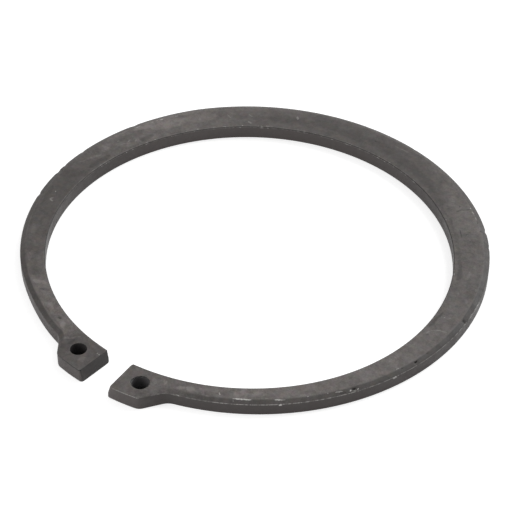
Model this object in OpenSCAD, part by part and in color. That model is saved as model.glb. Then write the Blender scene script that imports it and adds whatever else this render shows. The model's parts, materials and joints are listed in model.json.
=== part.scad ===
// External retaining ring: one piece of spring steel that snaps into a groove
// around a shaft. It is stamped from plate, so its section is a plain rectangle
// with one rolled-over edge, and it is widest at the back, opposite the gap.
// Origin: the bore's centre, on the underside. +Z is up, and the gap is at -Y.

/* [Plate and bore] */
// Diameter of the bore while the ring is unstressed
bore_d = 113; // [94:0.5:136]
// Thickness of the plate
thick = 4; // [3:0.1:5]

/* [Arms and back] */
// Radial width in the middle of the back, opposite the gap
back_w = 11.4; // [9.5:0.1:14]
// Radial width that the arms taper to at the gap
neck_w = 5.2; // [4.2:0.1:6.3]
// How far behind the bore's centre the arms' outer arc is centred
arm_shift = 3.5; // [2.9:0.05:4.3]
// How far behind the bore's centre the back's outer arc is centred
back_shift = 1.4; // [1:0.05:1.8]
// How far the stamped outer edge sits to the left of the bore
side_shift = 0.7; // [0:0.05:1]

/* [Gap and lugs] */
// Width of the gap between the two end faces, measured across the bore
gap = 8; // [5.5:0.1:11]
// Radial depth of a lug, from the bore to its outer arc
lug_depth = 10.3; // [8.6:0.1:12.4]
// Length of a lug's outer edge, from the end face to where the flank starts
lug_len = 8.9; // [7.4:0.1:10.7]
// Lean of a lug's flank away from the radius, in degrees
flank_lean = 48; // [40:1:57]
// Radius of a lug's outer corner, next to the flank
flank_corner_r = 1.4; // [0.4:0.1:2]
// Radius of a lug's outer corner, next to the gap
end_corner_r = 0.5; // [0.2:0.1:1]
// Radius inside the neck, where the flank runs into the arm
neck_r = 4.5; // [2.5:0.1:6]

/* [Plier holes] */
// Diameter of the hole in each lug
hole_d = 4.4; // [3.5:0.1:5.3]
// How far out from the bore each hole starts, before it is set off from the end face
hole_from_bore = 4.7; // [3.9:0.1:5.7]
// Distance of a hole's centre from the end face
hole_from_end = 6; // [5:0.1:7.2]

/* [Edges] */
// Width of the rolled-over band along the outer top edge
roll_w = 1.4; // [0.8:0.05:1.7]
// How far the rolled-over band drops at the wall
roll_drop = 0.65; // [0.3:0.05:0.9]
// Width of the small chamfer around the bore's top edge
bore_break = 0.15; // [0.05:0.05:0.5]

/* [Hidden] */

$fn = 360;
steel = [0.36, 0.34, 0.33];
// How far a cutting shape runs past the face that it cuts
past = 1;
// How far a round corner or hollow crosses the faces that it blends, which leaves
// a faint edge at each end of it, as stamping does
bite = 0.03;
// How far short of a lug's round corner its flank's rolled edge has run out, as a
// share of the corner's radius
run_out_share = 0.25;

// A point at a radius from the bore's centre, at an angle from the gap towards +X
function polar(radius, angle) = radius * [sin(angle), -cos(angle)];
// The unit direction square to the radius at that angle, pointing away from the gap
function square_to(angle) = [cos(angle), sin(angle)];

bore_r = bore_d / 2;
lug_r = bore_r + lug_depth;
arm_r = bore_r + neck_w + arm_shift;
back_r = bore_r + back_w - back_shift;
half_gap_angle = asin(gap / 2 / bore_r);
flank_angle = half_gap_angle + lug_len / lug_r * 180 / PI;
hole_at = polar(bore_r + hole_from_bore, half_gap_angle) + hole_from_end * square_to(half_gap_angle);

// How far a line runs, from a point and along a unit direction, to enter a circle
function run_in(from, along, centre, radius) =
    let (back = from - centre, lead = back * along)
    -lead - sqrt(lead * lead - back * back + radius * radius);
// How far it runs to come out of the circle on the other side
function run_out(from, along, centre, radius) =
    let (back = from - centre, lead = back * along)
    -lead + sqrt(lead * lead - back * back + radius * radius);

// The right-hand lug's flank: a straight line inwards from its sharp corner
flank_start = polar(lug_r, flank_angle);
flank_inward = -polar(1, flank_angle - flank_lean);
flank_outward = -flank_inward;
flank_normal = square_to(flank_angle - flank_lean);

// Centre of the round corner between the lug's outer arc and its flank
corner_from = flank_start - flank_corner_r * flank_normal;
corner_centre = corner_from
    + run_out(corner_from, flank_outward, [0, 0], lug_r - flank_corner_r) * flank_outward;

// Centre of the round corner between the end face and the lug's outer arc
end_centre = polar(lug_r - end_corner_r,
    half_gap_angle + asin(end_corner_r / (lug_r - end_corner_r)));

// Hollow in the neck: it blends the flank into the arm's outer arc. The arm's
// centre is off to the left, so the right and left necks differ a little.
function arm_centre(side) = [-side * side_shift, arm_shift];
function neck_on_flank(side) =
    let (from = flank_start + (neck_r - bite) * flank_normal)
    flank_start
        + run_in(from, flank_inward, arm_centre(side), arm_r + neck_r - bite) * flank_inward;
function neck_centre(side) = neck_on_flank(side) + (neck_r - bite) * flank_normal;

// A disc of the plate with its top edge rolled over
module rolled_disc(radius, shift) {
    translate([-side_shift, shift, 0]) {
        cylinder(h = thick - roll_drop, r = radius);
        translate([0, 0, thick - roll_drop])
            cylinder(h = roll_drop, r1 = radius, r2 = radius - roll_w);
    }
}

// The two arms and the back, before the bore is cut: both outer arcs bound them
module arms_and_back() {
    intersection() {
        rolled_disc(arm_r, arm_shift);
        rolled_disc(back_r, back_shift);
    }
}

// Outline of a right-hand lug and its neck. It reaches into the gap and the bore,
// which are cut afterwards.
module lug_outline(side) {
    difference() {
        intersection() {
            circle(r = lug_r);
            polygon([
                [0, 0],
                polar(lug_r + past, half_gap_angle / 2),
                flank_start + past * flank_outward,
                neck_on_flank(side),
                neck_centre(side)
            ]);
        }
        translate(neck_centre(side)) circle(r = neck_r);
    }
}

// What a round corner takes off, between the two directions that it turns through
module round_off(centre, radius, from, to) {
    reach = 2 * radius;
    translate([centre[0], centre[1], -past])
        linear_extrude(thick + 2 * past)
            difference() {
                polygon([[0, 0], reach * from, 2 * reach * (from + to) / norm(from + to), reach * to]);
                circle(r = radius + bite);
            }
}

// The rolled edge follows the neck at full width
module neck_roll(side) {
    translate([neck_centre(side)[0], neck_centre(side)[1], thick - roll_drop])
        cylinder(h = roll_drop, r1 = neck_r, r2 = neck_r + roll_w);
}

// Along the flank the rolled edge runs out, and it is gone before the lug's corner
module flank_roll(side) {
    roll_end = corner_centre + flank_corner_r * (flank_normal + run_out_share * flank_inward);
    run = norm(neck_on_flank(side) - roll_end);
    turn = atan(roll_w / run);
    tilt = atan(roll_drop / (roll_w * cos(turn)));
    translate([roll_end[0], roll_end[1], thick])
        rotate([0, 0, atan2(flank_inward[1], flank_inward[0])])
            intersection() {
                translate([-past, -past, -thick / 2])
                    cube([run + past, roll_w + 2 * past, thick]);
                rotate([0, 0, turn])
                    rotate([tilt, 0, 0])
                        translate([-run, -2 * thick, 0]) cube([3 * run, 4 * thick, thick]);
            }
}

// A right-hand lug with its neck. Its side is 1 where it stays on the right, and
// -1 where it is about to be mirrored to the left.
module lug(side) {
    difference() {
        linear_extrude(thick) lug_outline(side);
        neck_roll(side);
        flank_roll(side);
        round_off(corner_centre, flank_corner_r, corner_centre / norm(corner_centre), flank_normal);
        round_off(end_centre, end_corner_r, end_centre / norm(end_centre), -square_to(half_gap_angle));
    }
}

// The hole through each lug, for the pliers
module plier_holes() {
    for (side = [1, -1])
        translate([side * hole_at[0], hole_at[1], -past])
            cylinder(h = thick + 2 * past, d = hole_d);
}

// The wedge of plate that is missing between the two end faces
module gap_cut() {
    reach = 2 * lug_r;
    translate([0, 0, -past])
        linear_extrude(thick + 2 * past)
            polygon([[0, 0], polar(reach, -half_gap_angle), polar(reach, half_gap_angle)]);
}

// The bore, with the small chamfer around its top edge
module bore_cut() {
    translate([0, 0, -past]) cylinder(h = thick + 2 * past, r = bore_r);
    translate([0, 0, thick - bore_break])
        cylinder(h = bore_break + past, r1 = bore_r, r2 = bore_r + bore_break + past);
}

module ring() {
    color(steel)
        difference() {
            union() {
                arms_and_back();
                lug(1);
                mirror([1, 0, 0]) lug(-1);
            }
            plier_holes();
            gap_cut();
            bore_cut();
        }
}

ring();
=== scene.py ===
# Looks of an external retaining ring: one piece of phosphated spring steel, lying flat
# on a pale floor. Its outer top edge is rolled over, two lugs with plier holes face
# each other across the gap, and the years have left scuffs, nicks and rubbed edges.

import json
import math
import random

import bmesh
import bpy
from mathutils import Matrix, Vector


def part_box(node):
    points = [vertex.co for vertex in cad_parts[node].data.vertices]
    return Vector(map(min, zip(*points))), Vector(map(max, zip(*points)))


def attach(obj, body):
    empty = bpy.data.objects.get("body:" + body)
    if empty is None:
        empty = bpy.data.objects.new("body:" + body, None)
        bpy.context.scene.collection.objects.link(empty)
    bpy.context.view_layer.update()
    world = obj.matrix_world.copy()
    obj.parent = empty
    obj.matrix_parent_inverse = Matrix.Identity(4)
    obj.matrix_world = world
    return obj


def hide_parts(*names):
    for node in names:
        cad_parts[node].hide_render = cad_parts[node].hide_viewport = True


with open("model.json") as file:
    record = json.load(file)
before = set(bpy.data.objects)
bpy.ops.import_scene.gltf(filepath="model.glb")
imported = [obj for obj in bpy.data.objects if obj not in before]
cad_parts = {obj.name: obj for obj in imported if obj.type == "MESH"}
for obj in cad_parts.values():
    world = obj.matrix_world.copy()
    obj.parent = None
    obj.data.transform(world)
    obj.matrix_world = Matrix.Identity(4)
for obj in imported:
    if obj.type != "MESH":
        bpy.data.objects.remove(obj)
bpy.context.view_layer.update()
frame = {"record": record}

MM = 0.001

# Points nearer to each other than this are one point
SAME_POINT = 0.001 * MM

# ---- Sizes of the ring, from the frame where it states them ------------------------

MOUNTS = {mount["name"]: mount for mount in frame["record"]["mounts"]}
BORE_R = MOUNTS["shaft_bore"]["dims"]["r_mm"] * MM
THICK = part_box("ring")[1].z
# Radii of the outer edge at the lugs, along the arms and around the back
LUG_R = BORE_R + 10.3 * MM
ARM_R = BORE_R + 8.69 * MM
BACK_R = BORE_R + 10.0 * MM
# The arms' and the back's circles are centred left of the bore's axis, and behind it
SIDE_SHIFT = 0.7 * MM
ARM_SHIFT = 3.5 * MM
BACK_SHIFT = 1.4 * MM
# The gap, and a lug's length around its outer edge, from the gap to its flank
GAP = 8 * MM
LUG_LEN = 8.9 * MM
# The rolled edge's width from above and its drop, and how far the bore's top edge is broken
ROLL_W = 1.4 * MM
ROLL_DROP = 0.65 * MM
BORE_EDGE = 0.22 * MM

# How far the section's other corners are rounded: the rolled edge's crest, the crisp edge
# below it, and the underside's
CREST_ROUND = 0.45 * MM
CRISP_ROUND = 0.06 * MM
FOOT_ROUND = 0.08 * MM
# How much of the rolled edge is left along a lug's outer edge, where it stays sharp
SHARP_SHARE = 0.1
# Width of the section before it is fitted to the outline, and the widths next to its
# two edges that keep their size there
SECTION_W = 10 * MM
KEPT_AT_BORE = 0.5 * MM
KEPT_AT_EDGE = 2.0 * MM
# Edges of the section that are longer than each length get that many cuts, in turn
SECTION_CUTS = ((2.5 * MM, 7), (0.9 * MM, 1))
# The sweep's turn next to an end face, and over a lug with its flank and neck
END_TURN = math.radians(0.55)
LUG_TURN = math.radians(18)
SAME_TURN = math.radians(0.01)


# ---- Outline of the ring, seen from above -------------------------------------------
# An angle runs from the gap, which is at -Y, towards +X.


def polar(radius, angle):
    return Vector((math.sin(angle), -math.cos(angle))) * radius


def square_to(angle):
    return Vector((math.cos(angle), math.sin(angle)))


def angle_of(point):
    return math.atan2(point.x, -point.y)


def ray_to_circle(angle, centre, radius, near=False):
    """How far from the bore's centre a ray at that angle meets a circle."""
    along = polar(1, angle).dot(centre)
    half_chord = math.sqrt(max(0, radius**2 - centre.length_squared + along**2))
    return along - half_chord if near else along + half_chord


def line_to_circle(start, direction, centre, radius, near=False):
    """How far along a line, from a point, it meets a circle."""
    back = start - centre
    lead = back.dot(direction)
    half_chord = math.sqrt(lead**2 - back.length_squared + radius**2)
    return -lead - half_chord if near else -lead + half_chord


HALF_GAP = math.asin(GAP / 2 / BORE_R)
FLANK_ANGLE = HALF_GAP + LUG_LEN / LUG_R
FLANK_START = polar(LUG_R, FLANK_ANGLE)


class Outline:
    """One half of the outline. Its side is 1 on the right, and -1 on the left."""

    def __init__(self, side, flank_lean, neck_r, flank_corner_r, end_corner_r):
        inward = -polar(1, FLANK_ANGLE - math.radians(flank_lean))
        self.flank_normal = square_to(FLANK_ANGLE - math.radians(flank_lean))
        self.corner_r = flank_corner_r * MM
        start = FLANK_START - self.corner_r * self.flank_normal
        run = line_to_circle(start, -inward, Vector((0, 0)), LUG_R - self.corner_r)
        self.corner_centre = start - inward * run
        self.corner_on_flank = self.corner_centre + self.corner_r * self.flank_normal

        self.end_r = end_corner_r * MM
        off = math.asin(self.end_r / (LUG_R - self.end_r))
        self.end_centre = polar(LUG_R - self.end_r, HALF_GAP + off)

        self.arm_centre = Vector((-side * SIDE_SHIFT, ARM_SHIFT))
        self.back_centre = Vector((-side * SIDE_SHIFT, BACK_SHIFT))
        self.neck_r = neck_r * MM
        start = FLANK_START + self.neck_r * self.flank_normal
        run = line_to_circle(start, inward, self.arm_centre, ARM_R + self.neck_r, near=True)
        self.neck_on_flank = FLANK_START + run * inward
        self.neck_centre = self.neck_on_flank + self.neck_r * self.flank_normal
        to_arm = (self.arm_centre - self.neck_centre).normalized()
        self.neck_end = angle_of(self.neck_centre + self.neck_r * to_arm)

    def edge(self, angle):
        """Radius, outward normal and share of the rolled edge at an angle from the gap."""
        if angle < angle_of(self.end_centre):
            radius = ray_to_circle(angle, self.end_centre, self.end_r)
            return radius, polar(1, angle), SHARP_SHARE
        if angle < angle_of(self.corner_centre):
            return LUG_R, polar(1, angle), SHARP_SHARE
        if angle < angle_of(self.corner_on_flank):
            radius = ray_to_circle(angle, self.corner_centre, self.corner_r)
            return radius, (polar(radius, angle) - self.corner_centre).normalized(), SHARP_SHARE
        if angle < angle_of(self.neck_on_flank):
            radius = FLANK_START.dot(self.flank_normal) / polar(1, angle).dot(self.flank_normal)
            flank = (self.neck_on_flank - self.corner_on_flank).length
            done = (polar(radius, angle) - self.corner_on_flank).length / flank
            return radius, self.flank_normal, SHARP_SHARE + (1 - SHARP_SHARE) * done
        if angle < self.neck_end:
            radius = ray_to_circle(angle, self.neck_centre, self.neck_r, near=True)
            return radius, (self.neck_centre - polar(radius, angle)).normalized(), 1
        arm = ray_to_circle(angle, self.arm_centre, ARM_R)
        back = ray_to_circle(angle, self.back_centre, BACK_R)
        radius, centre = min((arm, self.arm_centre), (back, self.back_centre), key=lambda c: c[0])
        return radius, (polar(radius, angle) - centre).normalized(), 1


# For each side, the flank's lean in degrees, then the radii of the neck, the corner
# next to the flank and the corner next to the gap, in mm
TOP_OUTLINE = {
    1: Outline(1, 40, 3.5, 0.6, 0.45),
    -1: Outline(-1, 48, 4.5, 1.4, 0.45),
}
# Punching drags the lugs' corners in towards the underside, and leaves more in the neck
LOW_OUTLINE = {
    1: Outline(1, 46.5, 4.5, 2.8, 0.75),
    -1: Outline(-1, 48, 4.5, 2.8, 0.75),
}
# How fast that grows with depth: it is whole a little above the underside
DRAG_GROWTH = 1.2


def edge_at(side, angle, height):
    """The outline's edge at a height, between the top's outline and the underside's."""
    radius, normal, share = TOP_OUTLINE[side].edge(angle)
    low_radius = LOW_OUTLINE[side].edge(angle)[0]
    depth = max(0, min(1, DRAG_GROWTH * (1 - height / THICK)))
    return radius + (low_radius - radius) * depth, normal, share


# ---- The ring's mesh ------------------------------------------------------------------


def round_corner(bm, across, height, offset, segments):
    corner = min(bm.verts, key=lambda v: (v.co.x - across) ** 2 + (v.co.z - height) ** 2)
    bmesh.ops.bevel(
        bm,
        geom=[corner],
        offset=offset,
        segments=segments,
        affect="VERTICES",
        profile=0.5,
        material=-1,
    )


def section(bm):
    """The plate's section: the bore at x = 0, and the rolled edge at x = SECTION_W."""
    corners = [
        (0, 0),
        (SECTION_W, 0),
        (SECTION_W, THICK - ROLL_DROP),
        (SECTION_W - ROLL_W, THICK),
        (0, THICK),
    ]
    bm.faces.new([bm.verts.new((across, 0, height)) for across, height in corners])
    round_corner(bm, SECTION_W - ROLL_W, THICK, offset=CREST_ROUND, segments=4)
    round_corner(bm, SECTION_W, THICK - ROLL_DROP, offset=CRISP_ROUND, segments=2)
    round_corner(bm, 0, THICK, offset=BORE_EDGE, segments=3)
    round_corner(bm, 0, 0, offset=FOOT_ROUND, segments=2)
    round_corner(bm, SECTION_W, 0, offset=FOOT_ROUND, segments=2)
    for length, cuts in SECTION_CUTS:
        long_edges = [edge for edge in bm.edges if edge.calc_length() > length]
        bmesh.ops.subdivide_edges(bm, edges=long_edges, cuts=cuts)


def sweep(bm, stretches):
    """Spin the section around the bore in stretches of (angle, steps, cuts in each step)."""
    bmesh.ops.translate(bm, verts=bm.verts, vec=(BORE_R, 0, 0))
    turn = Matrix.Rotation(HALF_GAP - math.pi / 2, 3, "Z")
    bmesh.ops.rotate(bm, verts=bm.verts, cent=(0, 0, 0), matrix=turn)
    last = list(bm.verts) + list(bm.edges) + list(bm.faces)
    for angle, steps, _ in stretches:
        spun = bmesh.ops.spin(
            bm, geom=last, cent=(0, 0, 0), axis=(0, 0, 1), angle=angle, steps=steps
        )
        last = spun["geom_last"]
    for step, cuts in {(angle / steps, cuts) for angle, steps, cuts in stretches}:
        around = [edge for edge in bm.edges if abs(turn_of(edge) - step) < SAME_TURN]
        bmesh.ops.subdivide_edges(bm, edges=around, cuts=cuts, use_grid_fill=True)


def turn_of(edge):
    """The angle about the bore between an edge's two ends."""
    first, second = (vert.co.xy for vert in edge.verts)
    return abs(first.angle_signed(second))


# How far each end face stands back from the gap at the top, and out into it at the foot
END_LEAN = {1: (0.37 * MM, 0.6 * MM), -1: (0.05 * MM, 0.45 * MM)}
# The share of the depth at which the lean is whole
LEAN_DEPTH = 0.7
# How far the end face's edge with the bore is rounded, and its reach from the bore in mm
END_BORE_ROUND = 0.25 * MM
END_ROUND_REACH = 0.7
# How far from the end face the lug is drawn along with it
LEAN_REACH = 3 * MM

# Where the outer edge is off its arc: angle from the gap in degrees, reach along the
# edge in mm, and how far the edge is in from the arc in mm
FLAT_ON_LEFT_ARM = (-34, 17, 0.35)
# Shorter ones than this are nicks, which fade out towards the underside
NICK_REACH = 3
EDGE_NICKS = [
    (133.4, 1.3, 0.28), (127.3, 1.2, 0.12), (118, 1.0, 0.15), (111, 0.9, 0.15),
    (-74.5, 1.4, 0.25), (-84.7, 1.5, 0.3), (-87.8, 1.0, 0.18), (-95, 1.2, 0.2),
    (-112, 1.6, 0.25), (170, 0.9, 0.1),
]

# Pits in the top: angle from the gap in degrees, distance from the bore, length, width
# and depth in mm, and the turn of the length away from the circumference in degrees
PITS = [
    (61.8, 5.5, 1.8, 0.65, 0.5, 0),
    (79.6, 6.35, 1.7, 0.45, 0.4, 0),
    (98.6, 7.7, 1.2, 0.75, 0.5, 0),
    (99.3, 8.35, 1.6, 0.35, 0.3, -45),
    (75.4, 5.85, 0.9, 0.3, 0.2, 0),
    (83.6, 6.35, 0.9, 0.3, 0.2, 0),
    (165.8, 6.7, 0.9, 0.35, 0.15, -20),
    (179.5, 5.8, 0.8, 0.6, 0.3, -30),
]
# How far out a pit's slope runs, in half lengths and half widths
PIT_REACH = 1.3


def fit_to_outline(vert, from_bore, marks):
    """Move one vertex of the swept section to its place on the ring."""
    angle = angle_of(vert.co)
    side = 1 if angle > 0 else -1
    height = vert.co.z
    radius, normal, share = edge_at(side, abs(angle), height)
    rolled = (share - SHARP_SHARE) / (1 - SHARP_SHARE)
    radial = polar(1, abs(angle))
    from_edge = SECTION_W - from_bore
    wall_top = THICK - ROLL_DROP

    vert[marks["from_edge"]] = from_edge / MM
    vert[marks["height"]] = height / MM
    vert[marks["rolled"]] = rolled

    along = math.degrees(angle)
    for centre, reach, depth in EDGE_NICKS + [FLAT_ON_LEFT_ARM]:
        off = math.radians(along - centre) * radius / MM
        high = height / THICK if reach < NICK_REACH else 1
        radius -= depth * MM * bump_at(off, reach) * high

    kept = share if height > THICK / 2 else 1
    way_in = radial.lerp(normal, rolled).normalized()
    stretch = 1 + rolled * (1 / way_in.dot(normal) - 1)

    def inwards(distance):
        return radial * radius - way_in * (distance * kept * stretch)

    if from_edge <= KEPT_AT_EDGE:
        place = inwards(from_edge)
    elif from_bore <= KEPT_AT_BORE:
        place = radial * (BORE_R + from_bore)
    else:
        middle = SECTION_W - KEPT_AT_BORE - KEPT_AT_EDGE
        done = (from_bore - KEPT_AT_BORE) / middle
        place = (radial * (BORE_R + KEPT_AT_BORE)).lerp(inwards(KEPT_AT_EDGE), done)

    if from_edge <= KEPT_AT_EDGE:
        if height >= wall_top:
            height = THICK - share * (THICK - height)
        else:
            height *= (THICK - share * ROLL_DROP) / wall_top
    vert.co = (side * place.x, place.y, height)


def bump_at(distance, reach):
    """1 at no distance, fading to 0 at the reach, with no corner at either end."""
    near = max(0, 1 - (distance / reach) ** 2)
    return near * near


def lean_end(vert, from_bore):
    """Lean an end face, as punching leaves it, and round its edge with the bore."""
    side = 1 if vert.co.x > 0 else -1
    from_end = (abs(angle_of(vert.co)) - HALF_GAP) * LUG_R
    share = max(0, 1 - from_end / LEAN_REACH)
    back_at_top, out_at_foot = END_LEAN[side]
    depth = min(1, (1 - vert.co.z / THICK) / LEAN_DEPTH)
    shift = back_at_top - (back_at_top + out_at_foot) * depth
    shift += END_BORE_ROUND * bump_at(from_bore / MM, END_ROUND_REACH)
    vert.co.x += side * shift * share


def dig_pits(verts):
    for angle, from_bore, length, width, depth, turn in PITS:
        centre = polar(BORE_R + from_bore * MM, math.radians(angle))
        along = square_to(math.radians(angle + turn))
        across = Vector((-along.y, along.x))
        for vert in verts:
            off = vert.co.xy - centre
            if vert.co.z > THICK / 2 and off.length < length * MM:
                far = math.hypot(off.dot(along) / length, off.dot(across) / width) * 2 / MM
                vert.co.z -= depth * MM * bump_at(far, PIT_REACH)


def ring_mesh():
    bm = bmesh.new()
    section(bm)
    from_bore = bm.verts.layers.float.new("from_bore")
    for vert in bm.verts:
        vert[from_bore] = vert.co.x
    end = (END_TURN, 1, 5)
    lug = (LUG_TURN, 4, 22)
    arms_and_back = (2 * math.pi - 2 * (HALF_GAP + END_TURN + LUG_TURN), 40, 21)
    sweep(bm, [end, lug, arms_and_back, lug, end])
    marks = {name: bm.verts.layers.float.new(name) for name in ("from_edge", "height", "rolled")}
    for vert in bm.verts:
        fit_to_outline(vert, vert[from_bore], marks)
        lean_end(vert, vert[from_bore])
    dig_pits(bm.verts)
    bmesh.ops.recalc_face_normals(bm, faces=bm.faces)
    mesh = bpy.data.meshes.new("ring")
    bm.to_mesh(mesh)
    bm.free()
    return mesh


# How far each plier hole's worn rim reaches out from the hole
HOLE_RIM = {"plier_hole_left": 0.12 * MM, "plier_hole_right": 0.34 * MM}
# Where a hole's rim is notched, seen from its axis, and half the notch's width there
NOTCH_SIDE = Vector((-1, -0.3))
NOTCH_REACH = math.radians(28)
# How far a cutter stands out of the plate, and the steps around it
CUTTER_CLEAR = 1 * MM
CUTTER_STEPS = 70
# How many open edges are closed up at most, where the cuts leave slits
MOST_SLITS = 6
# Faces that meet at more than this stay sharp
SHARP_FROM = math.radians(32)


def hole_cutter(name, ragged, seed, notch):
    """A plier hole with its worn rim, as the solid that is cut away."""
    mount = MOUNTS[name]
    rim = HOLE_RIM[name]
    radius = mount["dims"]["r_mm"] * MM
    draw = random.Random(seed)
    bm = bmesh.new()
    profile = [
        (0, -CUTTER_CLEAR),
        (radius, -CUTTER_CLEAR),
        (radius, THICK - rim),
        (radius + rim / 3, THICK - rim / 3),
        (radius + rim, THICK),
        (radius + rim, THICK + CUTTER_CLEAR),
        (0, THICK + CUTTER_CLEAR),
    ]
    verts = [bm.verts.new((across, 0, height)) for across, height in profile]
    edges = [bm.edges.new(pair) for pair in zip(verts, verts[1:])]
    bmesh.ops.spin(
        bm,
        geom=verts + edges,
        cent=(0, 0, 0),
        axis=(0, 0, 1),
        angle=2 * math.pi,
        steps=CUTTER_STEPS,
        use_merge=True,
    )
    bmesh.ops.remove_doubles(bm, verts=bm.verts, dist=SAME_POINT)
    for vert in bm.verts:
        if vert.co.z > THICK - rim / 2:
            on_rim = vert.co.xy.length > radius / 2
            off = vert.co.xy.angle_signed(NOTCH_SIDE) if on_rim else math.pi
            out = ragged * draw.uniform(-1, 1) + notch * bump_at(off, NOTCH_REACH)
            vert.co.xy *= 1 + out / radius
    bmesh.ops.recalc_face_normals(bm, faces=bm.faces)
    bmesh.ops.translate(bm, verts=bm.verts, vec=(mount["pos_m"][0], mount["pos_m"][1], 0))
    mesh = bpy.data.meshes.new("hole_cutter")
    bm.to_mesh(mesh)
    bm.free()
    cutter = bpy.data.objects.new("hole_cutter", mesh)
    bpy.context.scene.collection.objects.link(cutter)
    return cutter


def settle(obj):
    """Give an object the mesh that its modifiers make, and take the modifiers away."""
    bpy.context.view_layer.update()
    settled = obj.evaluated_get(bpy.context.evaluated_depsgraph_get())
    mesh = bpy.data.meshes.new_from_object(settled)
    obj.modifiers.clear()
    obj.data = mesh


def close_slits(mesh):
    """Merge the points that the cuts leave side by side, and close slits at their short edges."""
    bm = bmesh.new()
    bm.from_mesh(mesh)
    bmesh.ops.remove_doubles(bm, verts=bm.verts, dist=SAME_POINT)
    for _ in range(MOST_SLITS):
        open_edges = [edge for edge in bm.edges if edge.is_boundary]
        if open_edges:
            shortest = min(open_edges, key=lambda edge: edge.calc_length())
            bmesh.ops.collapse(bm, edges=[shortest])
    bm.to_mesh(mesh)
    bm.free()


def make_ring():
    ring = bpy.data.objects.new("retaining_ring", ring_mesh())
    bpy.context.scene.collection.objects.link(ring)
    cutters = [
        hole_cutter("plier_hole_left", ragged=0.02 * MM, seed=4, notch=0),
        hole_cutter("plier_hole_right", ragged=0.09 * MM, seed=5, notch=0.18 * MM),
    ]
    for cutter in cutters:
        cut = ring.modifiers.new("plier_hole", "BOOLEAN")
        cut.operation = "DIFFERENCE"
        cut.solver = "EXACT"
        cut.object = cutter
    settle(ring)
    for cutter in cutters:
        bpy.data.objects.remove(cutter)
    close_slits(ring.data)
    ring.data.shade_smooth()
    ring.data.set_sharp_from_angle(angle=SHARP_FROM)
    weighted = ring.modifiers.new("flat_faces_shade_flat", "WEIGHTED_NORMAL")
    weighted.keep_sharp = True
    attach(ring, "root")
    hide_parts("ring")
    return ring


# ---- Phosphated steel ------------------------------------------------------------------

# The coat from its darkest to its lightest, its brown stains, and where it is rubbed pale, which also
# gives the painted highlights along the bore's edge
COAT_DARK = (0.0297, 0.0266, 0.0254, 1)
COAT_LIGHT = (0.188, 0.1715, 0.1635, 1)
COAT_BROWN = (0.130, 0.103, 0.090, 1)
PALE_WEAR_AND_GLINT = (0.22, 0.208, 0.200, 1)
# A wall goes from black at level 0 to this colour at level 2, and mostly covers the coat
WALL_LIGHT = (0.116, 0.0980, 0.0950, 1)
WALL_LEVELS = 2
WALL_SHARE = 0.75
# painted shade on the plier holes' walls
HOLE_WALL_SHADES = {
    "plier_hole_left": (0.045, 0.042, 0.042, 1),
    "plier_hole_right": (0.085, 0.082, 0.084, 1),
}
BLACK = (0, 0, 0, 1)
# black for oil in dark marks and cracks, and painted shade in the holes, on the bore's edge and along
# the left lug's edge
OIL_AND_SHADE_BLACK = (0.012, 0.012, 0.012, 1)
# painted shade on the pits' floors
PIT_SHADE_BLACK = (0.004, 0.004, 0.004, 1)
# bare steel for scuffs and rubbed edges, also giving the painted highlights along the edges
BARE_STEEL_AND_GLINT = (0.56, 0.55, 0.53, 1)

# Levels at angles from the gap in degrees: how light the flat top is, partly the coat's own
# tone and partly painted light, and then the rolled edge, where they are painted light and
# shade by which way it faces. The first and the last level are the same, so that they meet.
TOP_TONE_AND_LIGHT_AROUND = [
    (-180, 0.7), (-155, 0.8), (-125, 1.14), (-110, 1.2), (-95, 0.9), (-88, 0.64),
    (-80, 0.56), (-65, 0.57), (-50, 0.8), (-35, 1.2), (-17, 1.45), (-15, 1.15),
    (-13.5, 0.6), (-12, 0.55), (-10.5, 0.7), (-5, 0.7), (5, 0.84), (11, 0.9), (15, 1.1),
    (37, 1.4), (65, 1.3), (95, 1.15), (115, 1.0), (140, 1.05), (160, 0.7), (180, 0.7),
]
ROLL_LIGHT_AND_SHADE_AROUND = [
    (-180, 0.58), (-100, 0.7), (-80, 0.45), (-55, 0.6), (-38, 0.34), (-16, 0.56),
    (-5, 0.95), (10, 1.1), (16, 1.05), (24, 0.68), (55, 0.6), (75, 0.42), (90, 0.1),
    (105, 0.08), (120, 0.32), (180, 0.58),
]
# The same for the walls, painted light and shade by which way each faces, and the level of
# the two end faces' painted shade
WALL_LIGHT_AND_SHADE_AROUND = [
    (-180, 1.1), (-135, 1.15), (-118, 1.15), (-95, 0.68), (-75, 0.72), (-30, 0.8),
    (-14, 1.2), (-4, 1.2), (4, 1.65), (8, 1.27), (11.2, 1.12), (12.5, 0.76), (30, 0.97),
    (65, 1.0), (100, 0.85), (120, 0.66), (150, 0.66), (166, 1.03), (180, 1.1),
]
END_FACE_SHADE_LEVEL = 0.2
# How much lighter the flat top is next to the rolled edge: a painted sheen, mostly at the back
RIM_SHEEN_AROUND = [
    (-180, 0.04), (-174, 0.25), (-150, 0.35), (-142, 0.2), (-128, 0.38), (-106, 0.36),
    (-98, 0.08), (-90, 0), (110, 0), (148, 0.3), (158, 0.3), (172, 0.05), (180, 0.04),
]
PALE_PATCH_GAIN = 0.6
DARK_PATCH_LOSS = 0.55

# The coat's textures, as size across, detail and roughness
TEXTURES = {
    "clouds": (14 * MM, 2, 0.5),
    "blotches": (3.6 * MM, 3, 0.6),
    "specks": (1.1 * MM, 2, 0.6),
    "grain": (0.35 * MM, 2, 0.6),
}
# The coat's tone: its least, then what each texture adds over a range of its own
TONE_BASE = 0.22
TONE_SHARES = {
    "clouds": (0.35, 0.65, 0, 0.11),
    "blotches": (0.35, 0.65, 0, 0.12),
    "specks": (0.3, 0.7, 0, 0.16),
    "grain": (0.3, 0.7, 0, 0.17),
}
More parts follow.
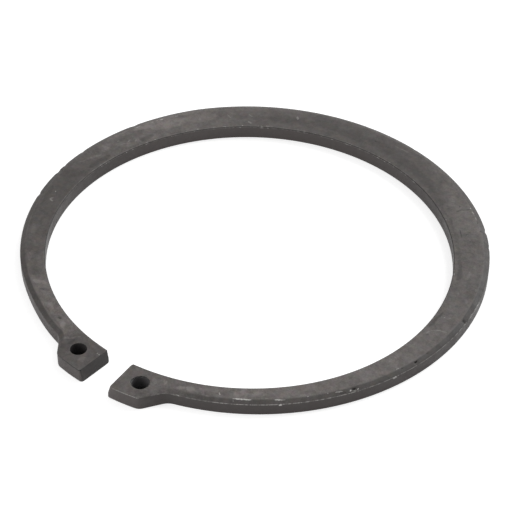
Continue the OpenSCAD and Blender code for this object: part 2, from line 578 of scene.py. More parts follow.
# Shares of the textures in how rough the coat is, and in its relief, and its plain gloss
ROUGH_SHARES = {"blotches": 0.5, "grain": 0.5}
RELIEF_SHARES = {"grain": 0.25, "specks": 0.3, "blotches": 0.45}
RELIEF_STRENGTH = 0.6
RELIEF_DEPTH = 0.05 * MM
GLOSS = 0.3

# A range is a low and a high value, and then what it gives at each where that isn't 0 and 1.
# Brown stains and a drift of tints in the coat
STAIN_SIZE = 2.2 * MM
STAINS = (0.5, 0.75, 0, 0.2)
TINT_SIZE = 1.6 * MM
TINT_SHARE = 0.11
# How far under the top something still counts as on it
TOP_DEPTH = (1.0 * MM, 1.2 * MM, 1, 0)
# From the edge in mm: where the rolled edge becomes the flat top, and the middle and reach
# of the painted sheen next to it
ROLL_TO_FLAT = (ROLL_W / MM - 0.2, ROLL_W / MM + 0.3)
RIM_SHEEN_MIDDLE = ROLL_W / MM + 0.3
RIM_SHEEN_REACH = 1.6
# The size and the reach of the raggedness of patches, and of marks
PATCH_RAGGED = (3 * MM, 1.0 * MM)
MARK_RAGGED = (0.5 * MM, 0.22 * MM)
# How far out a mark fades, for an oval that reaches 1
MARK_FADE = 1.3
# How the specks break up pale marks, and dark ones
PALE_BROKEN = (0.3, 0.6, 0.4, 1)
DARK_BROKEN = (0.25, 0.5, 0.5, 1)
# How strong pale marks and dark ones are at their most
PALE_SHARE = 0.8
DARK_SHARE = 0.7

# How little a wall looks up or down, how much an end face looks sideways for its painted
# shade, and its angle from the gap
WALL_FACING = (0.35, 0.8, 1, 0)
END_FACING = (0.6, 0.85)
END_NEAR_GAP = (math.radians(5.2), math.radians(5.6), 1, 0)

# How far out from a plier hole its wall's painted shade and its rim's painted shade end, and
# how far under the top that shade begins
HOLE_WALL_OUT = (0.02 * MM, 0.1 * MM)
HOLE_RIM_OUT = (1.0 * MM, 1.1 * MM)
HOLE_RIM_DEPTH = (0.03 * MM, 0.08 * MM)

# The bore's edge: how far down it reaches, the place out from the bore of its painted shade,
# and the middles and the reach of the painted highlight lines next to it
BORE_EDGE_DEPTH = (BORE_EDGE + 0.05 * MM, BORE_EDGE + 0.15 * MM, 1, 0)
BORE_EDGE_SHADE = (BORE_EDGE, BORE_EDGE + 0.06 * MM, 1, 0)
LIP_MIDDLE = BORE_EDGE + 0.12 * MM
FOOT_MIDDLE = BORE_EDGE + 0.1 * MM
LINE_REACH = 0.14 * MM
FOOT_FROM_BORE = (0.02 * MM, 0.05 * MM, 1, 0)
# Where the bore's edge shows painted highlights, at angles on the left and at the back on the right,
# and how much they thin its painted shade
BORE_GLINT_LEFT = (-60, -90, 0.3, 1.0)
BORE_GLINT_BACK = (150, 165)
SHADE_WHERE_GLINTING = (0.3, 1.0, 0.6, 0.35)
# The dashes that the painted highlight lines are broken into, those shown as bare steel, and the lines'
# strength
BORE_DASHES = (1.3 * MM, 3, 0.7)
LIP_DASHES = (0.3, 0.6)
FOOT_DASHES = (0.35, 0.6)
BARE_DASHES = (0.58, 0.66, 0, 0.7)
LINES_SHARE = 0.7

# The crisp edge below the rolled band: its height and reach in mm, and its dashes
CRISP_HEIGHT = (THICK - ROLL_DROP) / MM
CRISP_REACH = 0.2
CRISP_DASHES = (0.8 * MM, 3, 0.7)
CRISP_BROKEN = (0.4, 0.58, 0.2, 1)
# How strong its rubbed line and painted highlight are, at angles from the gap in degrees, as shares to
# be multiplied
CRISP_AROUND = [
    (-5, 5, 0.25, 1), (22, 30, 0.3, 0.65), (58, 70, 1, 0.55), (95, 110, 1, 0.4),
]
# The lugs have next to no rolled band: the left one's edge carries a painted shadow line, the right
# one's a painted highlight
LUG_LINE_REACH = 0.5
NOT_ROLLED = (0.0, 0.1, 1, 0)
LEFT_TO_RIGHT = (-1 * MM, 1 * MM)
LUG_BROKEN = (0.38, 0.52, 0.15, 0.8)
LUG_LINE_AROUND = [
    (5, 10, 0.6, 1), (11.5, 12, 1, 0),
]
# The rolled band's crest: its reach and height in mm, and what the clouds leave of it
CREST_REACH = 0.3
CREST_HEIGHT = (3.7, 3.9)
CREST_CLOUDS = (0.3, 0.7, 0.0, 0.25)

# Roughness over a range of its textures, and how bare steel, also where it gives painted highlights,
# differs from the coat
ROUGHNESS = (0.35, 0.65, 0.42, 0.6)
BARE_METALLIC = 0.4
BARE_POLISH = 0.1
# Places in a noise that are far enough apart to be unlike each other
OTHER_STAINS = (0.3, 0.1, 0)
OTHER_DASHES = (0.1, 0.2, 0.3)
# A pit floor's painted shade, as shares of its length and width, and the depth in mm from which it is
# black
PIT_FLOOR_LENGTH = 0.6
PIT_FLOOR_WIDTH = 0.8
BLACK_FROM_DEPTH = 0.4


def grey(level):
    return (level, level, level, 1)


class Nodes:
    """Short ways to add shader nodes to one material."""

    def __init__(self, material):
        material.use_nodes = True
        self.tree = material.node_tree
        self.shader = self.tree.nodes["Principled BSDF"]

    def add(self, kind, **settings):
        node = self.tree.nodes.new(kind)
        for name, value in settings.items():
            setattr(node, name, value)
        return node

    def join(self, source, socket):
        if isinstance(source, bpy.types.NodeSocket):
            self.tree.links.new(source, socket)
        else:
            socket.default_value = source

    def math(self, operation, first, second=0.0):
        node = self.add("ShaderNodeMath", operation=operation)
        self.join(first, node.inputs[0])
        self.join(second, node.inputs[1])
        return node.outputs[0]

    def times(self, first, second):
        return self.math("MULTIPLY", first, second)

    def plus(self, first, second):
        return self.math("ADD", first, second)

    def minus(self, first, second):
        return self.math("SUBTRACT", first, second)

    def most(self, first, second):
        return self.math("MAXIMUM", first, second)

    def unsigned(self, value):
        return self.math("ABSOLUTE", value)

    def product(self, first, *others):
        for other in others:
            first = self.times(first, other)
        return first

    def between(self, value, low, high, to_low=0.0, to_high=1.0, smooth=True):
        """value as it goes from low to high, made to go from to_low to to_high."""
        kind = "SMOOTHSTEP" if smooth else "LINEAR"
        node = self.add("ShaderNodeMapRange", interpolation_type=kind)
        self.join(value, node.inputs["Value"])
        self.join(low, node.inputs["From Min"])
        self.join(high, node.inputs["From Max"])
        self.join(to_low, node.inputs["To Min"])
        self.join(to_high, node.inputs["To Max"])
        return node.outputs["Result"]

    def line(self, value, middle, reach):
        """1 where a value is at the middle, fading to 0 at the reach on both sides."""
        return self.between(self.unsigned(self.minus(value, middle)), 0.0, reach, 1.0, 0.0)

    def mix(self, share, first, second, blend="MIX"):
        node = self.add("ShaderNodeMix", data_type="RGBA", blend_type=blend)
        self.join(share, node.inputs["Factor"])
        self.join(first, node.inputs["A"])
        self.join(second, node.inputs["B"])
        return node.outputs["Result"]

    def place(self):
        return self.add("ShaderNodeTexCoord").outputs["Object"]

    def facing(self):
        """The direction that the surface faces."""
        return self.add("ShaderNodeTexCoord").outputs["Normal"]

    def axis(self, place, name):
        node = self.add("ShaderNodeSeparateXYZ")
        self.join(place, node.inputs["Vector"])
        return node.outputs[name]

    def vector(self, operation, first, second=(0, 0, 0), result="Vector"):
        node = self.add("ShaderNodeVectorMath", operation=operation)
        self.join(first, node.inputs[0])
        self.join(second, node.inputs[1])
        return node.outputs[result]

    def moved(self, place, by):
        return self.vector("ADD", place, by)

    def flat(self, place):
        return self.vector("MULTIPLY", place, (1, 1, 0))

    def length(self, place):
        return self.vector("LENGTH", place, result="Value")

    def distance(self, first, second):
        return self.vector("DISTANCE", first, second, result="Value")

    def tints(self, place, size):
        """A colour that drifts around mid grey, in blotches about size across."""
        node = self.add("ShaderNodeTexNoise")
        self.join(place, node.inputs["Vector"])
        node.inputs["Scale"].default_value = 1 / size
        return node.outputs["Color"]

    def shaken(self, place, size, reach):
        """The place moved about by up to the reach, so that what is drawn on it is ragged."""
        centred = self.vector("SUBTRACT", self.tints(place, size), (0.5, 0.5, 0.5))
        return self.moved(place, self.vector("MULTIPLY", centred, (2 * reach,) * 3))

    def noise(self, place, size, detail=2.0, roughness=0.5):
        """Noise from 0 to 1 whose blotches are about size across, in metres."""
        node = self.add("ShaderNodeTexNoise")
        self.join(place, node.inputs["Vector"])
        node.inputs["Scale"].default_value = 1 / size
        node.inputs["Detail"].default_value = detail
        node.inputs["Roughness"].default_value = roughness
        return node.outputs["Fac"]

    def ramp(self, value, stops):
        """Numbers given at angles in degrees all the way around, for a turn from 0 to 1."""
        node = self.add("ShaderNodeValToRGB")
        self.join(value, node.inputs["Fac"])
        elements = node.color_ramp.elements
        while len(elements) < len(stops):
            elements.new(0.5)
        for element, (angle, level) in zip(elements, stops):
            element.position = angle / 360 + 0.5
            element.color = grey(level)
        return node.outputs["Color"]

    def mark(self, name):
        return self.add("ShaderNodeAttribute", attribute_name=name).outputs["Fac"]


# Marks on the top: where each starts and ends, as an angle from the gap in degrees and a
# distance from the bore in mm, then its width in mm and its strength
BARE_SCUFFS = [
    # along the front crest and the edge below it
    (32.2, 4, 37, 4.2, 0.45, 1), (42.4, 4.4, 45, 4.65, 0.4, 0.8),
    (40.2, 3.8, 41, 3.8, 0.5, 0.3), (29, 2.3, 29.3, 3.1, 0.3, 0.8),
    (32.5, 4.55, 32.8, 4.65, 0.3, 0.6), (43.3, 5.65, 44.1, 5.65, 0.25, 0.9),
    (18.9, 5.02, 19.7, 5.02, 0.2, 0.7), (60.6, 5.85, 61.1, 5.6, 0.35, 0.9),
    (61.5, 6.05, 62.2, 6.1, 0.25, 0.4), (62.5, 6, 62.9, 5.8, 0.3, 0.7),
    (57.1, 5.05, 58.9, 5.3, 0.4, 0.4), (50.3, 4.6, 50.6, 4.6, 0.3, 0.6),
    (55.2, 4.8, 55.5, 4.8, 0.3, 0.5), (71.9, 6.85, 73.1, 6.9, 0.25, 0.7),
    (74, 5.35, 74.9, 5.45, 0.3, 0.6), (87.6, 8, 88, 8, 0.3, 0.5),
    (99.6, 8.45, 103.5, 8.72, 0.22, 0.3), (103.5, 8.72, 107, 8.98, 0.25, 0.45),
    # flecks on the right
    (97.2, 2.75, 97.5, 2.8, 0.3, 0.35), (97.6, 4.15, 97.9, 4.2, 0.3, 0.4),
    (114.8, 0.45, 115.5, 0.45, 0.25, 0.6), (138.8, 9, 137.8, 8.9, 0.35, 0.35),
    (139.2, 0.5, 139.6, 0.6, 0.25, 0.4), (141, 8.9, 140, 8.9, 0.35, 0.5),
    (142.2, 9, 142.7, 9, 0.35, 0.7),
    # flecks at the back's bore edge
    (-148.4, 0.6, -149.4, 0.6, 0.3, 0.7), (-141, 0.5, -141.4, 0.5, 0.3, 0.6),
    (-127.2, 0.6, -128, 0.6, 0.35, 0.5),
    # flecks on the left
    (-123.3, 8.9, -124, 8.9, 0.6, 0.3), (-119, 8.8, -119.8, 8.85, 0.5, 0.7),
    (-117.8, 8.8, -118.3, 8.8, 0.4, 0.5), (-116.4, 8.7, -117, 8.7, 0.4, 0.4),
    (-111.8, 8.6, -113, 8.5, 0.5, 0.55), (-76.3, 4, -76.7, 4.1, 0.35, 0.45),
    (-5.2, 2.6, -5.1, 2.8, 0.35, 0.5), (-4.7, 2.6, -4.4, 2.9, 0.35, 0.6),
]
# Broad soft patches where the coat is paler, and where it is darker
PALE_PATCHES = [
    # front and right
    (4.6, 1, 5, 7.5, 1, 0.5), (5.5, 0.8, 7, 1, 1.4, 0.5), (12, 2.5, 12.8, 4.2, 1.5, 0.6),
    (14.6, 1.2, 15.3, 3.3, 1, 1), (18.6, 2.7, 20, 2.8, 1.6, 0.9),
    (20.8, 2.6, 22.8, 2.4, 2.2, 1), (24.3, 1.5, 25.3, 3.4, 1, 0.5),
    (33, 1.9, 36.3, 1.9, 3, 0.7), (37.8, 2, 38.8, 1.2, 1.6, 0.6),
    (74, 1.6, 77.5, 2.4, 2.4, 0.4), (101, 2.5, 103, 6.5, 3, 0.25),
    (104.5, 5.8, 106.5, 5.4, 1, 0.4), (113.5, 4.2, 117.3, 4.6, 1.2, 0.7),
    (118.3, 5.5, 119.5, 6, 1.2, 0.4), (121, 7, 127, 6.5, 4, 0.25),
    (130, 6.5, 136, 6.5, 5, 0.3), (136, 5.5, 142, 6.5, 5, 0.4),
    (143, 5.3, 148, 6.5, 4.4, 0.75), (149, 7.2, 153, 7.2, 4, 0.7),
    (159, 8.2, 165, 8.3, 2.5, 0.5),
    # back left
    (-134, 6, -126, 6.2, 5.5, 0.45), (-126, 6.3, -115, 6.3, 5, 0.7),
    (-116, 7, -111, 7.6, 2.4, 0.9), (-107, 3.5, -105, 1.8, 1.5, 0.6),
    (-101.5, 6.5, -98.5, 4.5, 3, 0.85), (-97, 4.2, -90, 6.2, 1, 0.7),
    (-90, 6.7, -87.5, 6.2, 1.4, 0.3),
    # left arm and lug
    (-65.9, 3.6, -65.2, 3.6, 1.2, 0.5), (-62, 4.6, -58, 4.6, 1.4, 0.5),
    (-55, 4, -54, 3.2, 1.6, 0.5), (-50, 4.3, -46.5, 4.2, 1.2, 0.5),
    (-48.2, 2, -47.2, 1.6, 1.4, 0.6), (-39, 4, -36.5, 1.2, 1.8, 0.6),
    (-30, 3.5, -26.5, 2, 1.4, 0.5), (-19.8, 1.8, -19.2, 3.4, 1.4, 0.7),
    (-15.2, 5.2, -14.5, 4.6, 1, 1.3), (-14.3, 4.6, -12.9, 1.4, 0.8, 1),
    (-10.6, 8.2, -9.8, 8, 1.4, 0.8), (-7, 6.6, -6.2, 6.8, 2.3, 1.4),
]
DARK_PATCHES = [
    # front and right
    (10.5, 9.4, 13.8, 7.4, 1.6, 0.5), (24, 3.2, 28.5, 2.8, 1.8, 0.5),
    (29.5, 2.5, 32, 3, 2.2, 0.4), (39.5, 3.2, 42.5, 3.3, 1.6, 0.4),
    (49, 3, 53, 3.6, 2, 0.35), (92, 1.2, 99, 1.3, 1.2, 0.9),
    (103.5, 3, 104.5, 3.1, 0.7, 0.4), (105, 5, 110, 5.5, 2.2, 0.4),
    (112, 7.5, 115.5, 7, 2.6, 0.4), (112.8, 1.9, 118, 1.9, 2.4, 0.9),
    (118, 1.6, 121.5, 1.7, 1.8, 0.7), (121.5, 1.5, 128, 1.4, 1.4, 0.35),
    (128, 1.4, 134, 1.5, 1.4, 0.35), (134, 1.4, 140, 1.5, 1.4, 0.5),
    (140, 1.4, 146, 1.5, 1.2, 0.35), (131.8, 4, 133.2, 6, 1.4, 0.4),
    # back
    (146, 1.7, 155, 2.3, 2.8, 0.65), (153, 2.9, 163, 3.4, 4.4, 0.75),
    (162, 3.6, 172, 4.2, 5, 0.65), (171, 5, 180, 5, 5, 0.4), (-180, 5, -170, 4.5, 5, 0.4),
    (-169, 5.6, -160, 5.6, 4, 0.45), (-160, 5, -148, 5, 5, 0.5), (-148, 5, -145, 4, 3, 0.4),
    (-142.5, 5, -139, 4.8, 3.4, 0.4),
    # left
    (-114, 2.8, -109.5, 2, 2.8, 0.8), (-109, 6, -103, 6, 2.5, 0.4),
    (-99, 2, -90, 2.2, 2.6, 0.7), (-88, 2.8, -80, 2.4, 2.5, 0.3),
    (-88.5, 4.4, -76, 4, 4, 0.35), (-79, 6, -70, 5.4, 1.6, 0.5),
    (-52.5, 2.6, -50, 2.6, 2, 0.3), (-44, 3.2, -41, 2.6, 3.4, 0.5),
    (-29, 4, -18, 4.2, 1, 0.5), (-35.3, 2.9, -34, 1.5, 1.2, 0.5),
    (-22.4, 2.5, -21.6, 2.2, 1.2, 0.8), (-18.5, 2.5, -18.2, 3.2, 0.7, 0.5),
    (-13.6, 6.8, -12.2, 7.6, 2, 0.8), (-13.2, 3.6, -12.4, 5.4, 1.8, 0.8),
    (-11, 2.6, -5.5, 2.6, 1.4, 0.35),
]
# Narrow pale marks: scratches, and small spots that show more
PALE_SCRATCHES = [
    (24.8, 3.7, 27, 4, 0.5, 0.6),
    # the curved scratch on the right, and two short ones
    (89.5, 1.7, 90.7, 2, 0.6, 1), (90.7, 2, 91.8, 3, 0.6, 1), (91.8, 3, 92.4, 4.4, 0.55, 1),
    (92.4, 4.4, 92.6, 6, 0.55, 0.8), (108.1, 2.8, 106.6, 3.1, 0.5, 0.5),
    (109.8, 7.1, 110.8, 7.1, 0.5, 0.7),
    # along the back
    (174.5, 7.6, 168.8, 8.3, 0.5, 0.4), (-157, 5.6, -156.6, 7, 0.9, 1),
    (-143.9, 1.6, -143.1, 2.8, 1, 0.9), (-144.2, 5, -143.2, 6.4, 0.5, 0.7),
    (-138, 4.6, -137.2, 6.6, 0.5, 0.6),
    # on the left
    (-109, 3.2, -108.3, 2.6, 0.5, 0.8), (-107.5, 4.2, -106.2, 3.6, 0.5, 1),
    (-106.2, 3.6, -102.5, 3.9, 0.4, 0.5), (-104.7, 5.9, -104.2, 5.6, 0.5, 0.7),
    (-73.8, 3.4, -73, 4.1, 0.7, 1), (-73, 4, -72.3, 2.9, 0.7, 1),
]
DARK_MARKS = [
    (58, 5.6, 59.6, 5.8, 0.7, 0.6), (88.1, 4.3, 88.4, 5, 0.5, 0.5),
    (88.8, 2, 89.5, 2.5, 0.45, 0.6), (111.3, 9.2, 111.3, 9.6, 0.5, 0.8),
    (119.3, 9.3, 119.3, 9.7, 0.5, 0.8),
    # fine cracks on the right
    (127.3, 9, 127.3, 9.5, 0.6, 0.6), (134.5, 3.1, 131, 3, 0.5, 0.8),
    (132, 4.3, 132.4, 5, 0.6, 0.5), (133, 5.4, 132.8, 6, 0.6, 0.5),
    (133.2, 8.6, 133, 9.2, 0.8, 0.8), (137.4, 9, 136, 8.8, 0.45, 0.8),
    (142, 4.5, 142.4, 6.2, 0.5, 0.6), (142.4, 6.2, 142, 7.5, 0.5, 0.6),
    (142, 7.5, 142.1, 8.7, 0.45, 0.6), (143.4, 6, 144.2, 6.5, 0.5, 0.6),
    (-147.1, 7.45, -148, 7.55, 0.4, 0.5), (-34.8, 2.6, -34.2, 2, 0.7, 0.5),
    (-22.4, 2.3, -21.6, 2.3, 0.8, 0.6),
]


def pit_mark(angle, from_bore, length, width, depth, turn):
    """A pit's floor, as a mark of painted shade that is darker the deeper the pit."""
    half = length / 2 * PIT_FLOOR_LENGTH
    around = half * math.cos(math.radians(turn))
    out = half * math.sin(math.radians(turn))
    off = math.degrees(around / (BORE_R / MM + from_bore))
    strength = min(1, depth / BLACK_FROM_DEPTH)
    return angle - off, from_bore + out, angle + off, from_bore - out, width * PIT_FLOOR_WIDTH, strength


class PhosphatedSteel(Nodes):
    """The ring's finish in layers, and what the layers are worked out from."""

    def __init__(self, material):
        super().__init__(material)
        self.here = self.place()
        self.sideways = self.axis(self.here, "X")
        to_front = self.times(self.axis(self.here, "Y"), -1)
        self.angle = self.math("ARCTAN2", self.sideways, to_front)
        self.turn = self.between(self.angle, -math.pi, math.pi, smooth=False)
        self.from_bore = self.minus(self.length(self.flat(self.here)), BORE_R)
        self.under_top = self.minus(THICK, self.axis(self.here, "Z"))
        self.from_edge = self.mark("from_edge")
        self.section_height = self.mark("height")
        self.rolled = self.mark("rolled")
        self.on_top = self.between(self.under_top, *TOP_DEPTH)
        self.textures = {name: self.noise(self.here, *how) for name, how in TEXTURES.items()}

    def by_angle(self, low, high, to_low=0.0, to_high=1.0):
        """A number that changes as the angle from the gap goes from low to high, in degrees."""
        return self.between(self.angle, math.radians(low), math.radians(high), to_low, to_high)

    def level(self, stops):
        return self.ramp(self.turn, stops)

    def ragged(self, size, reach):
        """The place seen from above, shaken so that the marks on it are ragged."""
        return self.flat(self.shaken(self.here, size, reach))

    def marks(self, ragged, marks):
        """Where the marks are, each as a soft oval around its two ends."""
        total = 0.0
        for start_angle, start_out, end_angle, end_out, width, strength in marks:
            start = polar(BORE_R + start_out * MM, math.radians(start_angle)).to_3d()
            end = polar(BORE_R + end_out * MM, math.radians(end_angle)).to_3d()
            length = (end - start).length
            around = math.hypot(length, width * MM)
            fade = length + MARK_FADE * (around - length)
            to_both = self.plus(self.distance(ragged, start), self.distance(ragged, end))
            total = self.most(self.between(to_both, length, fade, strength, 0.0), total)
        return total

    def sum_of(self, shares):
        total = 0.0
        for name, share in shares.items():
            total = self.plus(self.times(self.textures[name], share), total)
        return total

    def coat(self):
        """Clouds, blotches and a fine grain, with levels around the ring that are partly painted light
        and shade, soft patches, and a painted sheen next to the rolled edge.
        """
        tone = TONE_BASE
        for name, how in TONE_SHARES.items():
            tone = self.plus(self.between(self.textures[name], *how), tone)
        on_flat = self.between(self.from_edge, *ROLL_TO_FLAT)
        # the rolled edge's levels are painted light and shade, the flat top's partly painted light
        around = self.mix(on_flat, self.level(ROLL_LIGHT_AND_SHADE_AROUND), self.level(TOP_TONE_AND_LIGHT_AROUND))
        ragged = self.ragged(*PATCH_RAGGED)
        paler = self.product(self.marks(ragged, PALE_PATCHES), self.on_top, PALE_PATCH_GAIN)
        darker = self.product(self.marks(ragged, DARK_PATCHES), self.on_top, DARK_PATCH_LOSS)
        # a painted sheen on the flat top next to the rolled edge; rim below carries it
        near_rim_sheen = self.line(self.from_edge, RIM_SHEEN_MIDDLE, RIM_SHEEN_REACH)
        rim = self.product(near_rim_sheen, on_flat, self.level(RIM_SHEEN_AROUND))
        patched = self.plus(self.minus(self.plus(paler, rim), darker), 1.0)
        colour = self.mix(self.product(around, patched, tone), COAT_DARK, COAT_LIGHT)
        stains = self.noise(self.moved(self.here, OTHER_STAINS), STAIN_SIZE)
        colour = self.mix(self.between(stains, *STAINS), colour, COAT_BROWN)
        return self.mix(TINT_SHARE, colour, self.tints(self.here, TINT_SIZE), blend="OVERLAY")

    def walls(self, colour):
        """Punched walls are darker than the rolled faces, at levels around the ring that are painted
        light and shade, and the end faces get painted shade.
        """
        facing = self.facing()
        upright = self.between(self.unsigned(self.axis(facing, "Z")), *WALL_FACING)
        end_face_shade = self.between(self.unsigned(self.axis(facing, "X")), *END_FACING)
        near_gap = self.between(self.unsigned(self.angle), *END_NEAR_GAP)
        end_face_shade = self.times(end_face_shade, near_gap)
        level = self.mix(end_face_shade, self.level(WALL_LIGHT_AND_SHADE_AROUND), grey(END_FACE_SHADE_LEVEL))
        wall = self.mix(self.between(level, 0, WALL_LEVELS, smooth=False), BLACK, WALL_LIGHT)
        return self.mix(self.times(upright, WALL_SHARE), colour, wall)

    def hole_walls(self, colour):
        """A plier hole's worn rim and its wall are painted dark, as the shade inside the hole."""
        in_rim = self.times(self.on_top, self.between(self.under_top, *HOLE_RIM_DEPTH))
        for name, hole_wall_shade in HOLE_WALL_SHADES.items():
            x, y, _ = MOUNTS[name]["pos_m"]
            from_axis = self.length(self.flat(self.moved(self.here, (-x, -y, 0))))
            out = self.minus(from_axis, MOUNTS[name]["dims"]["r_mm"] * MM)
            on_rim = self.times(self.between(out, *HOLE_RIM_OUT, 1, 0), in_rim)
            inside = self.between(out, *HOLE_WALL_OUT, 1, 0)
            colour = self.mix(inside, self.mix(on_rim, colour, OIL_AND_SHADE_BLACK), hole_wall_shade)
        return colour

    def bore_edge(self, colour):
        """Painted shade on the bore's rounded edge, between two lines of painted highlight here and
        there, shown as bare steel in places.
        """
        near_top = self.between(self.under_top, *BORE_EDGE_DEPTH)
        glinting = self.most(self.by_angle(*BORE_GLINT_LEFT), self.by_angle(*BORE_GLINT_BACK))
        edge_shade = self.times(self.between(self.from_bore, *BORE_EDGE_SHADE), near_top)
        edge_shade = self.times(edge_shade, self.between(glinting, *SHADE_WHERE_GLINTING))
        colour = self.mix(edge_shade, colour, OIL_AND_SHADE_BLACK)
        dashes = self.noise(self.here, *BORE_DASHES)
        lip = self.times(self.line(self.from_bore, LIP_MIDDLE, LINE_REACH), near_top)
        foot = self.line(self.under_top, FOOT_MIDDLE, LINE_REACH)
        foot = self.times(foot, self.between(self.from_bore, *FOOT_FROM_BORE))
        lines = self.most(
            self.times(lip, self.between(dashes, *LIP_DASHES)),
            self.times(foot, self.between(dashes, *FOOT_DASHES)),
        )
        colour = self.mix(self.product(lines, glinting, LINES_SHARE), colour, PALE_WEAR_AND_GLINT)
        bare_and_glints = self.product(self.most(lip, foot), self.between(dashes, *BARE_DASHES), glinting)
        return colour, bare_and_glints

    def outer_edge(self, colour):
        """The crisp edge below the rolled band is rubbed and carries a painted highlight, most along
        the front; the lugs' edge has a painted shadow line on the left and a painted highlight on the
        right.
        """
        at_edge = self.line(self.from_edge, 0, CRISP_REACH)
        crisp = self.times(self.line(self.section_height, CRISP_HEIGHT, CRISP_REACH), at_edge)
        dashes = self.noise(self.moved(self.here, OTHER_DASHES), *CRISP_DASHES)
        crisp_wear_and_glint = self.product(crisp, self.between(dashes, *CRISP_BROKEN), self.rolled)
        for how in CRISP_AROUND:
            crisp_wear_and_glint = self.times(crisp_wear_and_glint, self.by_angle(*how))

        on_right = self.between(self.sideways, *LEFT_TO_RIGHT)
        on_left = self.minus(1.0, on_right)
        lug_shadow_line = self.line(self.section_height, CRISP_HEIGHT, LUG_LINE_REACH)
        on_lug = self.between(self.rolled, *NOT_ROLLED)
        lug_shadow_line = self.product(lug_shadow_line, at_edge, on_lug, on_left)
        colour = self.mix(lug_shadow_line, colour, OIL_AND_SHADE_BLACK)
        lug_glint = self.product(crisp, on_right, self.between(dashes, *LUG_BROKEN))
        for how in LUG_LINE_AROUND:
            lug_glint = self.times(lug_glint, self.by_angle(*how))
        return colour, self.most(crisp_wear_and_glint, lug_glint)

    def crest(self):
        """Where the crest of the rolled band is paler, in a thin line that the clouds break up."""
        line = self.line(self.from_edge, ROLL_W / MM, CREST_REACH)
        high = self.between(self.section_height, *CREST_HEIGHT)
        clouded = self.between(self.textures["clouds"], *CREST_CLOUDS)
        return self.product(line, high, self.rolled, clouded)

    def single_marks(self, colour, edge_wear_and_glints):
        """Scratches and the crest's pale line, dark marks, bare scuffs with the edges' wear and painted
        highlights, and the painted shade on the pits' floors, in that order.
        """
        ragged = self.ragged(*MARK_RAGGED)
        pale_broken = self.between(self.textures["specks"], *PALE_BROKEN)
        dark_broken = self.between(self.textures["specks"], *DARK_BROKEN)
        pale = self.product(self.marks(ragged, PALE_SCRATCHES), pale_broken, self.on_top)
        dark = self.product(self.marks(ragged, DARK_MARKS), dark_broken, self.on_top, DARK_SHARE)
        bare_and_glints = self.product(self.marks(ragged, BARE_SCUFFS), pale_broken, self.on_top)
        bare_and_glints = self.most(bare_and_glints, edge_wear_and_glints)
        pit_shade = self.times(self.marks(ragged, [pit_mark(*pit) for pit in PITS]), self.on_top)
        pale = self.times(self.most(pale, self.crest()), PALE_SHARE)
        colour = self.mix(pale, colour, PALE_WEAR_AND_GLINT)
        colour = self.mix(dark, colour, OIL_AND_SHADE_BLACK)
        colour = self.mix(bare_and_glints, colour, BARE_STEEL_AND_GLINT)
        return self.mix(pit_shade, colour, PIT_SHADE_BLACK), bare_and_glints

    def relief(self):
        bump = self.add("ShaderNodeBump")
        self.join(self.sum_of(RELIEF_SHARES), bump.inputs["Height"])
        bump.inputs["Strength"].default_value = RELIEF_STRENGTH
        bump.inputs["Distance"].default_value = RELIEF_DEPTH
        return bump.outputs["Normal"]


def phosphated_steel():
    material = bpy.data.materials.new("phosphated_steel")
    steel = PhosphatedSteel(material)
    colour = steel.hole_walls(steel.walls(steel.coat()))
    colour, bore_edge_glint = steel.bore_edge(colour)
    colour, outer_edge_wear_and_glint = steel.outer_edge(colour)
    colour, bare_and_glints = steel.single_marks(colour, steel.most(bore_edge_glint, outer_edge_wear_and_glint))
    rough = steel.between(steel.sum_of(ROUGH_SHARES), *ROUGHNESS)
    rough = steel.minus(rough, steel.times(bare_and_glints, BARE_POLISH))

    steel.join(colour, steel.shader.inputs["Base Color"])
    steel.join(steel.times(bare_and_glints, BARE_METALLIC), steel.shader.inputs["Metallic"])
    steel.join(rough, steel.shader.inputs["Roughness"])
    steel.join(steel.relief(), steel.shader.inputs["Normal"])
    steel.shader.inputs["Specular IOR Level"].default_value = GLOSS
    return material


# ---- Floor, light and camera ------------------------------------------------------------

# The floor's reach each way from the ring in metres, its colours, and how much it glows
FLOOR_REACH = 3
FLOOR_WHITE = (0.8, 0.8, 0.8, 1)
# painted shadow on the floor under the plier holes
FLOOR_SHADE_UNDER_HOLES = (0.02, 0.02, 0.02, 1)
FLOOR_GLOW = 0.55
# Out from a plier hole's edge, where the painted shadow on the floor below it ends
FLOOR_DARK_OUT = (0.1 * MM, 0.4 * MM)


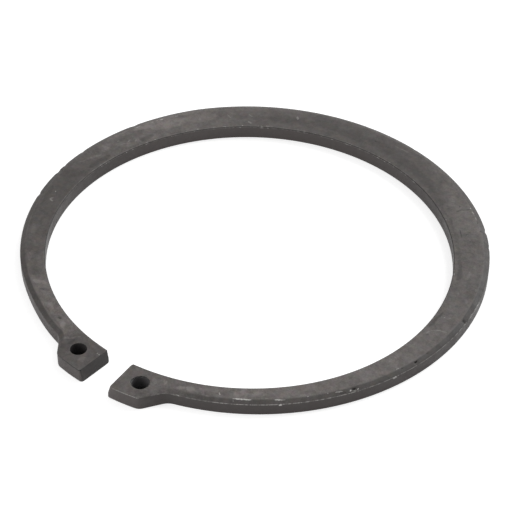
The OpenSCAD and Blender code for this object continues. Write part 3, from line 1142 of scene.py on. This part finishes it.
def make_floor():
    bm = bmesh.new()
    bmesh.ops.create_grid(bm, x_segments=1, y_segments=1, size=FLOOR_REACH)
    mesh = bpy.data.meshes.new("floor")
    bm.to_mesh(mesh)
    bm.free()
    floor = bpy.data.objects.new("floor", mesh)
    bpy.context.scene.collection.objects.link(floor)

    material = bpy.data.materials.new("pale_floor")
    nodes = Nodes(material)
    nodes.shader.inputs["Roughness"].default_value = 0.9
    nodes.shader.inputs["Specular IOR Level"].default_value = 0.0
    rays = nodes.add("ShaderNodeLightPath").outputs
    seen = nodes.most(rays["Is Camera Ray"], rays["Is Glossy Ray"])
    seen = nodes.most(seen, rays["Is Transmission Ray"])
    # the floor is painted dark at the bottom of the plier holes, as painted shadow, and doesn't glow
    # there
    clear = 1.0
    for name in HOLE_RIM:
        x, y, _ = MOUNTS[name]["pos_m"]
        from_axis = nodes.distance(nodes.place(), (x, y, 0))
        out = nodes.minus(from_axis, MOUNTS[name]["dims"]["r_mm"] * MM)
        clear = nodes.times(clear, nodes.between(out, *FLOOR_DARK_OUT))
    colour = nodes.mix(clear, FLOOR_SHADE_UNDER_HOLES, FLOOR_WHITE)
    nodes.join(colour, nodes.shader.inputs["Base Color"])
    nodes.shader.inputs["Emission Color"].default_value = (1, 1, 1, 1)
    glow = nodes.product(seen, clear, FLOOR_GLOW)
    nodes.join(glow, nodes.shader.inputs["Emission Strength"])
    floor.data.materials.append(material)


def soft_box(name, place, size, power):
    lamp = bpy.data.lights.new(name, "AREA")
    lamp.shape = "SQUARE"
    lamp.size = size
    lamp.energy = power
    holder = bpy.data.objects.new(name, lamp)
    bpy.context.scene.collection.objects.link(holder)
    holder.location = place
    holder.rotation_euler = (-Vector(place)).to_track_quat("-Z", "Y").to_euler()


def make_light():
    world = bpy.data.worlds.new("studio")
    bpy.context.scene.world = world
    world.use_nodes = True
    background = world.node_tree.nodes["Background"]
    background.inputs["Color"].default_value = (1, 1, 1, 1)
    background.inputs["Strength"].default_value = 0.5
    soft_box("back_light", (0.45, 1.7, 1.25), size=1.5, power=30)
    soft_box("fill_light", (-0.32, -0.5, 0.35), size=0.4, power=1.3)


def make_camera():
    """Looks down on the ring from the front right, with a long lens."""
    target = Vector((0.65, 1.67, 0)) * MM
    distance = 9 * BORE_R
    height_angle = math.radians(39.83)
    side_angle = math.radians(35.7)
    roll = math.radians(1.14)
    away = polar(math.cos(height_angle), side_angle).to_3d()
    away.z = math.sin(height_angle)
    right = Vector((0, 0, 1)).cross(away).normalized()
    up = away.cross(right)
    across = right * math.cos(roll) + up * math.sin(roll)

    lens = bpy.data.cameras.new("camera")
    lens.lens = 128.6
    lens.sensor_width = 36
    lens.clip_start = 0.01
    camera = bpy.data.objects.new("camera", lens)
    bpy.context.scene.collection.objects.link(camera)
    turn = Matrix((across, away.cross(across), away)).transposed()
    camera.matrix_world = Matrix.Translation(target + away * distance) @ turn.to_4x4()
    bpy.context.scene.camera = camera


make_camera()
make_light()
make_floor()
make_ring().data.materials.append(phosphated_steel())
bpy.context.scene.view_settings.view_transform = "Standard"
